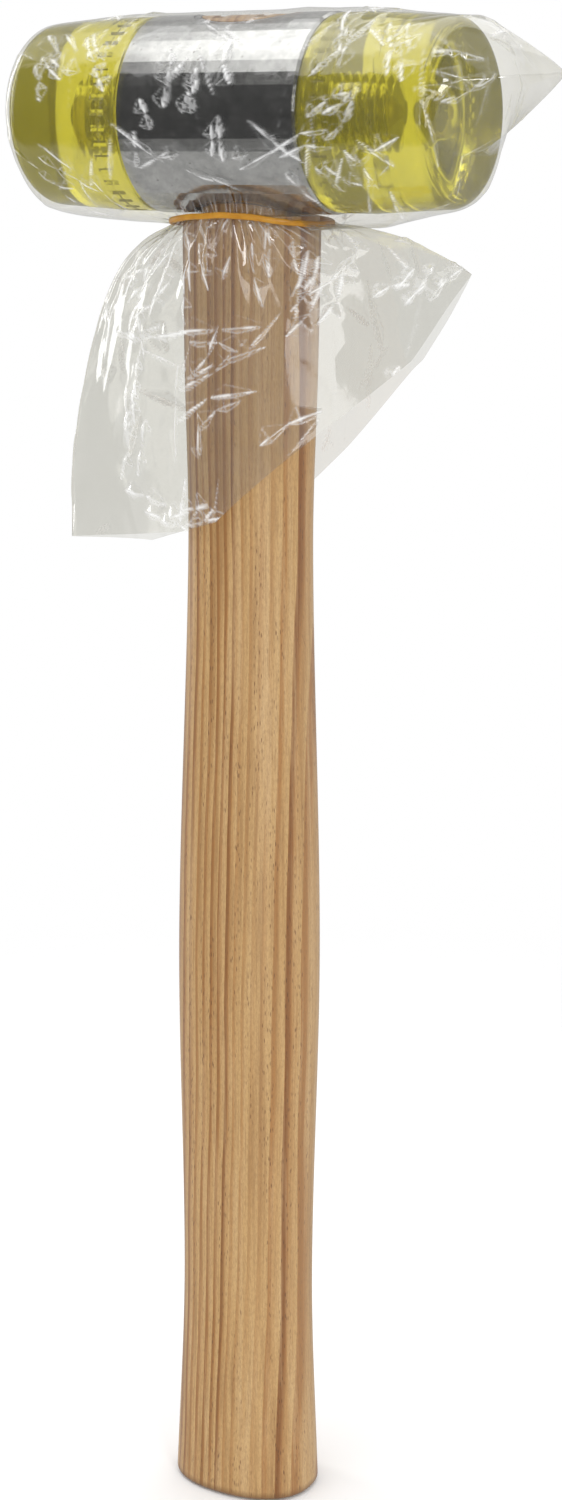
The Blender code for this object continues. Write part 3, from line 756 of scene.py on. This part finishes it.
def hood_grid(side, head_z, size):
    """One half of the hood, as a grid of rows from the neck to the bag's seam over the head."""
    radius, half = size
    columns = int((2 * half + 2 * radius) / FILM_STEP)
    rows = int(HOOD_RISE / FILM_STEP)
    outline = np.array([(0, -radius), (half, -radius), (half, radius), (0, radius)])
    lengths = np.concatenate([[0], np.cumsum(np.linalg.norm(np.diff(outline, axis=0), axis=1))])
    at = np.linspace(0, lengths[-1], columns)
    plan = np.stack([np.interp(at, lengths, outline[:, k]) for k in (0, 1)], axis=1)
    plan[:, 0] *= side
    turn = np.arctan2(plan[:, 1], plan[:, 0])
    centre = np.array((0, 0, head_z))
    start = neck_point(turn, head_z, extra=0.0002, lift=-0.0002)
    first = start - centre
    first = first / np.linalg.norm(first, axis=1, keepdims=True)
    middle = np.stack([plan[:, 0], plan[:, 1], 0 * turn], axis=1)
    middle = middle / np.linalg.norm(middle, axis=1, keepdims=True)
    seam_x = plan[:, 0] * 0.97
    last = np.stack([seam_x, 0 * turn, radius + 0 * turn], axis=1)
    last = last / np.linalg.norm(last, axis=1, keepdims=True)
    t = np.linspace(0, 1, 500)[:, None, None]
    d = (1 - t) ** 2 * first + 2.6 * t * (1 - t) * middle + t**2 * last
    d = d / np.linalg.norm(d, axis=2, keepdims=True)
    reach = hood_distance(d.reshape(-1, 3), size).reshape(d.shape[:2])
    path = centre + d * reach[:, :, None]
    near = smooth(0.0, 0.10, t[:, :, 0])[:, :, None]
    path = start * (1 - near) + path * near
    return resampled(path, rows), turn


def hood_relief(grid, normal, turn, head_z):
    """Heights of the wrinkles in the tight film over the head, and how white each point is."""
    rows, columns = grid.shape[:2]
    points = grid.reshape(-1, 3)
    normals = normal.reshape(-1, 3)
    up = 1000 * head_z
    folds = creased(HOOD_CREASES, SEED + 11)
    marks = drawn(points, normals, folds, lambda x, z: (x, 0, up + z), (0, -1, 0))
    end_folds = creased(END_CREASES, SEED + 12)
    ends = drawn(points, normals, end_folds, lambda y, z: (62, y, up + z), (1, 0, 0))
    marks = np.maximum(marks, ends)
    marks = np.maximum(marks, scattered(points, normals, 60, (0.004, 0.016), 0.0005, SEED + 1))
    height = 0.00042 * marks[1]
    marks = broken(points, marks[0], SEED)
    tents = facets(points, (0.011, 0.012, 0.021), 0.26, SEED + 3)
    height += np.maximum(tents - 0.0010, 0)
    height += facets(points, (0.016, 0.016, 0.030), 0.07, SEED + 5)
    height = height.reshape(rows, columns)
    along = np.linspace(0, HOOD_RISE, rows)[:, None]
    lean = warp(points, 0.02, 0.8, 3).reshape(rows, columns)
    pleats = wave(turn[None, :] * 34 / (2 * math.pi) + lean * along / 0.02)
    folds = wave(turn[None, :] * 13 / (2 * math.pi) + 0.3 + lean * along / 0.012)
    height += 0.00040 * pleats * np.exp(-along / 0.006) + 0.0003 * folds * np.exp(-along / 0.016)
    # it can only stand off what it covers
    height = np.where(height > -0.0003, height, -0.0003 + 0.15 * (height + 0.0003))
    return height, marks.reshape(rows, columns)


def broken(points, marks, seed):
    """The folds' white, partly real whitening and partly painted highlight, is uneven: some of their
    length stays clear.
    """
    patches = warp(points, 0.0035, 1.0, seed + 20)
    return marks * smooth(-0.30, 0.25, patches)


def crease_white_and_highlight(marks, height, closed):
    """White along the folds, and a little where the relief bends sharply: partly the film's crease
    whitening, partly painted highlight standing in for the light the folds catch.
    """
    bend = creasing(height, closed) / FILM_STEP
    return np.clip(0.75 * marks**1.3 + 0.35 * np.clip(bend / 0.25 - 0.3, 0, 1), 0, 1)


def build_hood(head_z, tube_r, face_end, film):
    size = (tube_r + HOOD_OFF, face_end + HOOD_OFF)
    for side, name in ((-1, "left"), (1, "right")):
        grid, turn = hood_grid(side, head_z, size)
        normal = grid_normals(grid, closed=False)
        centre = np.array((0, 0, head_z))
        outward = np.sign(np.sum(normal * (grid - centre), axis=2, keepdims=True))
        normal = normal * outward
        normal[-1] = grid[-1] - np.array((0, 0, head_z))
        normal[-1, :, 1] = 0
        normal[-1] /= np.linalg.norm(normal[-1], axis=1, keepdims=True)
        height, marks = hood_relief(grid, normal, turn, head_z)
        # the two sides of the seam share their points, and so do the halves at the middle
        last = (height[-1] + height[-1, ::-1]) / 2
        height[-1] = last
        edge = np.minimum(np.arange(len(turn)), np.arange(len(turn))[::-1])
        fade = smooth(0, 6, edge)[None, :]
        tucked = smooth(0, 5, np.arange(len(grid)))[:, None]
        crease = crease_white_and_highlight(marks, height, closed=False)
        height = height * fade * tucked
        grid = grid + normal * height[:, :, None]
        crease[0] = crease[-1] = 0
        made = film_object(f"bag_hood_{name}", grid, crease, False, film)
        work = bmesh.new()
        work.from_mesh(made.data)
        bmesh.ops.remove_doubles(work, verts=work.verts, dist=1e-6)
        work.to_mesh(made.data)
        work.free()
        # Not the real cut: the film is 150 by 81 mm at its most on the left and 159 by 100 mm on the
        # right.
        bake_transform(made)
        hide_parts("protective_bag")


def skirt_grid(head_z):
    columns, rows = 560, 170
    turn = np.linspace(0, 2 * math.pi, columns, endpoint=False)
    # equal turns would crowd the wings' tips, so they are spread towards the flat sides
    turn = turn + 0.22 * np.sin(2 * turn)
    c, s = np.cos(turn), np.sin(turn)
    neck = neck_point(turn, head_z, lift=0.0002)
    (left_x, left_drop), (front_x, front_drop), (right_x, right_drop) = SKIRT_MIDDLES
    x = front_x + (right_x - left_x) / 2 * c
    bulge = (left_drop + right_drop) / 2 - front_drop
    drop = front_drop + bulge * c**2 + (right_drop - left_drop) / 2 * c
    # flat wings, round only where the handle is between the two layers
    middle = np.stack([0.001 * x, 0.003 * s + 0.012 * s**3, head_z - 0.001 * drop], axis=1)
    low, high = SKIRT_HEM[0][0], SKIRT_HEM[-1][0]
    x = (low + high) / 2 + (high - low) / 2 * c
    drop = np.interp(x, [p for p, _ in SKIRT_HEM], [q for _, q in SKIRT_HEM])
    mouth = np.stack([0.001 * x, 0.002 * s + 0.013 * s**5, head_z - 0.001 * drop], axis=1)
    t = np.linspace(0, 1, 300)[:, None, None]
    path = (1 - t) ** 2 * neck + 2 * t * (1 - t) * middle + t**2 * mouth
    return resampled(path, rows), turn


def off_handle(grid, room):
    """Pushes points of the film out of the handle and a little room round it."""
    heights = np.linspace(0.15, 0.3, 60)
    widths = np.array([through(HANDLE_STATIONS, min(h, 0.2958)) for h in heights])
    half_x = np.interp(grid[:, :, 2], heights, widths) + room
    half_y = half_x * HANDLE_DEPTH + room
    level = (np.abs(grid[:, :, 0]) / half_x) ** OVAL_POWER
    level += (np.abs(grid[:, :, 1]) / half_y) ** OVAL_POWER
    push = np.maximum(level ** (-1 / OVAL_POWER), 1.0)
    grid[:, :, 0] *= push
    grid[:, :, 1] *= push
    return grid


def build_skirt(head_z, film):
    grid, turn = skirt_grid(head_z)
    rows, columns = grid.shape[:2]
    normal = grid_normals(grid, closed=True)
    outward = np.sign(np.sum(normal[:, :, :2] * grid[:, :, :2], axis=2, keepdims=True))
    normal = normal * outward
    points = grid.reshape(-1, 3)
    v = np.linspace(0, 1, rows)[:, None]
    lean = warp(points, 0.025, 1.0, 5).reshape(rows, columns)
    fine = warp(points, 0.008, 1.0, 6).reshape(rows, columns)
    around = turn[None, :] / (2 * math.pi)
    height = 0.0005 * wave(around * 33 + 0.8 * lean * v + 0.2 * fine) * np.exp(-v * 5)
    height += 0.0005 * wave(around * 15 + 0.2 + 1.3 * lean * v + 0.25 * fine) * np.exp(-v * 3)
    height += 0.0004 * v * wave(around * 7 + 0.55 + 0.8 * lean * v)
    up = 1000 * head_z
    normals = normal.reshape(-1, 3)
    folds = creased(SKIRT_CREASES, SEED + 13)
    marks = drawn(points, normals, folds, lambda x, drop: (x, 0, up - drop), (0, -1, 0))
    marks = np.maximum(marks, scattered(points, normals, 60, (0.004, 0.018), 0.0005, SEED + 6))
    height += 0.00042 * marks[1].reshape(rows, columns)
    marks = broken(points, marks[0], SEED + 6).reshape(rows, columns)
    tents = facets(points, (0.011, 0.012, 0.019), 0.26, SEED + 8).reshape(rows, columns)
    height += np.maximum(tents - 0.0010, 0)
    height += facets(points, (0.018, 0.018, 0.030), 0.08, SEED + 10).reshape(rows, columns)
    crease = crease_white_and_highlight(marks, height, closed=True)
    height = height * smooth(0, 5, np.arange(rows))[:, None]
    grid = off_handle(grid + normal * height[:, :, None], 0.0004)
    crease[0] = 0
    made = film_object("bag_skirt", grid, crease, True, film)
    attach(made, "mallet")
    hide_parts("protective_bag")


def build_band(head_z, rubber):
    """A round-cornered rubber loop, stretched over the gathers of the film."""
    sides, section = 160, 12
    thick = 0.0013
    rings = []
    for k in range(section):
        a = 2 * math.pi * k / section
        out = math.copysign(abs(math.cos(a)) ** 0.6, math.cos(a))
        up = math.copysign(abs(math.sin(a)) ** 0.6, math.sin(a))
        turn = np.linspace(0, 2 * math.pi, sides, endpoint=False)
        wobble = 0.0005 + 0.00008 * np.sin(5 * turn + 1) + 0.00004 * np.sin(11 * turn)
        extra = 0.0005 + thick / 2 * (1 + out) * (1 + 0.06 * np.sin(7 * turn))
        points = neck_point(turn, head_z, extra=extra, lift=up * thick / 2 + wobble)
        rings.append(points.tolist())
    rings.append(rings[0])
    work = bmesh.new()
    rows = [[work.verts.new(p) for p in ring] for ring in rings[:-1]]
    for i, first in enumerate(rows):
        second = rows[(i + 1) % section]
        for j in range(sides):
            k = (j + 1) % sides
            work.faces.new((first[j], first[k], second[k], second[j]))
    bmesh.ops.recalc_face_normals(work, faces=work.faces)
    mesh = bpy.data.meshes.new("rubber_loop")
    work.to_mesh(mesh)
    work.free()
    made = place("rubber_loop", mesh, rubber, 60)
    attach(made, "mallet")
    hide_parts("rubber_band")


# --- Stage: camera, floor, lights -------------------------------------------------------------
def build_camera():
    yaw, pitch, roll = math.radians(29.18), math.radians(12.31), math.radians(0.34)
    ahead = Vector(
        (-math.sin(yaw) * math.cos(pitch), math.cos(yaw) * math.cos(pitch), -math.sin(pitch))
    )
    right = Vector((math.cos(yaw), math.sin(yaw), 0))
    up = right.cross(ahead)
    across = math.cos(roll) * right + math.sin(roll) * up
    above = -math.sin(roll) * right + math.cos(roll) * up
    data = bpy.data.cameras.new("camera")
    data.sensor_width = 36.0
    data.lens = 63.594
    data.clip_start = 0.01
    made = bpy.data.objects.new("camera", data)
    turn = Matrix((across, above, -ahead)).transposed().to_4x4()
    made.matrix_world = Matrix.Translation((0.28676, -0.49934, 0.30023)) @ turn
    bpy.context.scene.collection.objects.link(made)
    bpy.context.scene.camera = made


def build_floor():
    """A pale floor that fades into the white studio before its edge."""
    mesh = bpy.data.meshes.new("floor")
    work = bmesh.new()
    bmesh.ops.create_circle(work, cap_ends=True, segments=96, radius=FLOOR_R)
    work.to_mesh(mesh)
    work.free()
    made = bpy.data.materials.new("studio floor")
    made.use_nodes = True
    tree = made.node_tree
    nodes = Nodes(tree)
    shader = tree.nodes["Principled BSDF"]
    shader.inputs["Base Color"].default_value = (0.95, 0.95, 0.95, 1)
    shader.inputs["Roughness"].default_value = 0.9
    shader.inputs["Specular IOR Level"].default_value = 0.0
    at = nodes.add("ShaderNodeTexCoord").outputs["Object"]
    far = nodes.add("ShaderNodeVectorMath", {0: at}, operation="LENGTH").outputs["Value"]
    fade = nodes.ramp(nodes.math("DIVIDE", far, FLOOR_R), ((0.1, 0.0), (0.7, 1.0)), "EASE")
    clear = nodes.add("ShaderNodeBsdfTransparent").outputs[0]
    mixed = nodes.add("ShaderNodeMixShader", {0: fade, 1: shader.outputs[0], 2: clear}).outputs[0]
    tree.links.new(mixed, tree.nodes["Material Output"].inputs[0])
    floor = place("floor", mesh, made)
    floor.location.z = -0.0002
    floor.visible_glossy = False
    floor.visible_transmission = False


def area_light(name, where, towards, size, power):
    data = bpy.data.lights.new(name, "AREA")
    data.shape = "RECTANGLE"
    data.size, data.size_y = size
    data.energy = power
    made = bpy.data.objects.new(name, data)
    made.location = where
    made.rotation_euler = (Vector(towards) - Vector(where)).to_track_quat("-Z", "Y").to_euler()
    bpy.context.scene.collection.objects.link(made)
    return made


def build_world():
    """White for the camera; reflections see a dark front, a pale back and a grey ground."""
    world = bpy.data.worlds.new("studio")
    world.use_nodes = True
    tree = world.node_tree
    nodes = Nodes(tree)
    towards = nodes.add("ShaderNodeTexCoord").outputs["Generated"]
    parts = nodes.add("ShaderNodeSeparateXYZ", {0: towards})
    x, y, z = parts.outputs
    # the angle round the head's axis: 0 is straight ahead in front, 90 up, 180 behind, 270 down
    angle = nodes.math("ARCTAN2", z, nodes.math("MULTIPLY", y, -1.0))
    turn = nodes.math("FRACT", nodes.math("ADD", nodes.math("DIVIDE", angle, 2 * math.pi), 1.0))
    shine = nodes.ramp(
        turn,
        (
            (0.0, 0.06), (0.178, 0.08), (0.198, 1.0), (0.315, 1.0), (0.335, 0.55),
            (0.5, 0.6), (0.68, 0.6), (0.70, 0.58), (0.885, 0.54), (0.905, 0.06),
        ),
    )
    through_it = nodes.ramp(
        turn,
        ((0.0, 0.3), (0.2, 0.4), (0.25, 1.0), (0.75, 1.0), (0.8, 0.6), (1.0, 0.3)),
    )
    # seen through the faces, the studio is dark towards the right at the back
    aside = nodes.ramp(nodes.math("MULTIPLY_ADD", x, 0.5, 0.5), ((0.56, 1.0), (0.68, 0.2)))
    through_it = nodes.mix(1.0, through_it, aside, "MULTIPLY")
    through_it = nodes.mix(1.0, through_it, (1.35, 1.35, 1.35, 1), "MULTIPLY")
    paths = nodes.add("ShaderNodeLightPath")
    value = nodes.mix(paths.outputs["Is Transmission Ray"], shine, through_it)
    value = nodes.mix(paths.outputs["Is Diffuse Ray"], value, (0.84, 0.84, 0.84, 1))
    value = nodes.mix(paths.outputs["Is Camera Ray"], value, (1, 1, 1, 1))
    tree.links.new(value, tree.nodes["Background"].inputs[0])
    bpy.context.scene.world = world


def build_lights(head_z):
    area_light("overhead", (-0.1, 0.02, head_z + 0.62), (0, 0, head_z), (1.5, 0.5), 3)
    area_light("front key", (1.15, -0.95, 0.75), (0, 0, 0.2), (0.4, 0.55), 5.5)
    area_light("front fill", (0.55, -1.5, 0.2), (0, 0, 0.15), (0.4, 0.9), 2.5)
    area_light("left strip", (-1.1, 0.1, 0.55), (0, 0, 0.25), (0.25, 0.9), 2.5)


# --- Everything -------------------------------------------------------------------------------
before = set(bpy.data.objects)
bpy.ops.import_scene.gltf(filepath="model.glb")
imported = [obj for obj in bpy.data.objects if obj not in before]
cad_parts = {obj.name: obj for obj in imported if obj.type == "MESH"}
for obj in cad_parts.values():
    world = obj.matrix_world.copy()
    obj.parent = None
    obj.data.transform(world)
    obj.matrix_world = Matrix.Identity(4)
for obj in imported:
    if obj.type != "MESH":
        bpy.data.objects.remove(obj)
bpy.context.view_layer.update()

tube_low, tube_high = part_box("head_tube")
HEAD_Z = (tube_low[2] + tube_high[2]) / 2
TUBE_R = (tube_high[2] - tube_low[2]) / 2
FACE_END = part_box("face_right")[1][0]

build_camera()
build_floor()
build_world()
build_lights(HEAD_Z)

bright = zinc_steel("bright zinc")
CAD_SURFACES = {
    "head_tube": chromed_steel(),
    "eye_sleeve": zinc_steel("sleeve steel"),
    "end_plug_left": bright,
    "end_plug_right": bright,
    "lock_washer_left": bright,
    "lock_washer_right": bright,
    "wooden_wedge": ash_wood("wedge wood", 0.85),
    "steel_wedge_left": zinc_steel("wedge steel", (0.4, 0.4, 0.41), 900),
    "steel_wedge_right": zinc_steel("wedge steel", (0.4, 0.4, 0.41), 900),
    "shot_charge": zinc_steel("shot steel", (0.35, 0.35, 0.36), 1200),
}
for node, surface in CAD_SURFACES.items():
    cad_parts[node].material_slots[0].material = surface

build_handle(HEAD_Z, TUBE_R)
plastic = cast_plastic("cast yellow plastic")
for side, name in ((-1, "left"), (1, "right")):
    build_face(side, name, plastic)
    build_stud(side, name, bright)
film = clear_film("clear film", (0.90, 0.895, 0.87), 0.02)
skirt_film = clear_film("clear film skirt", (0.84, 0.835, 0.80), 0.06)
build_band(HEAD_Z, amber_rubber())
build_hood(HEAD_Z, TUBE_R, FACE_END, film)
build_skirt(HEAD_Z, skirt_film)

bpy.context.scene.view_settings.view_transform = "Standard"
bpy.context.scene.cycles.transparent_max_bounces = 24
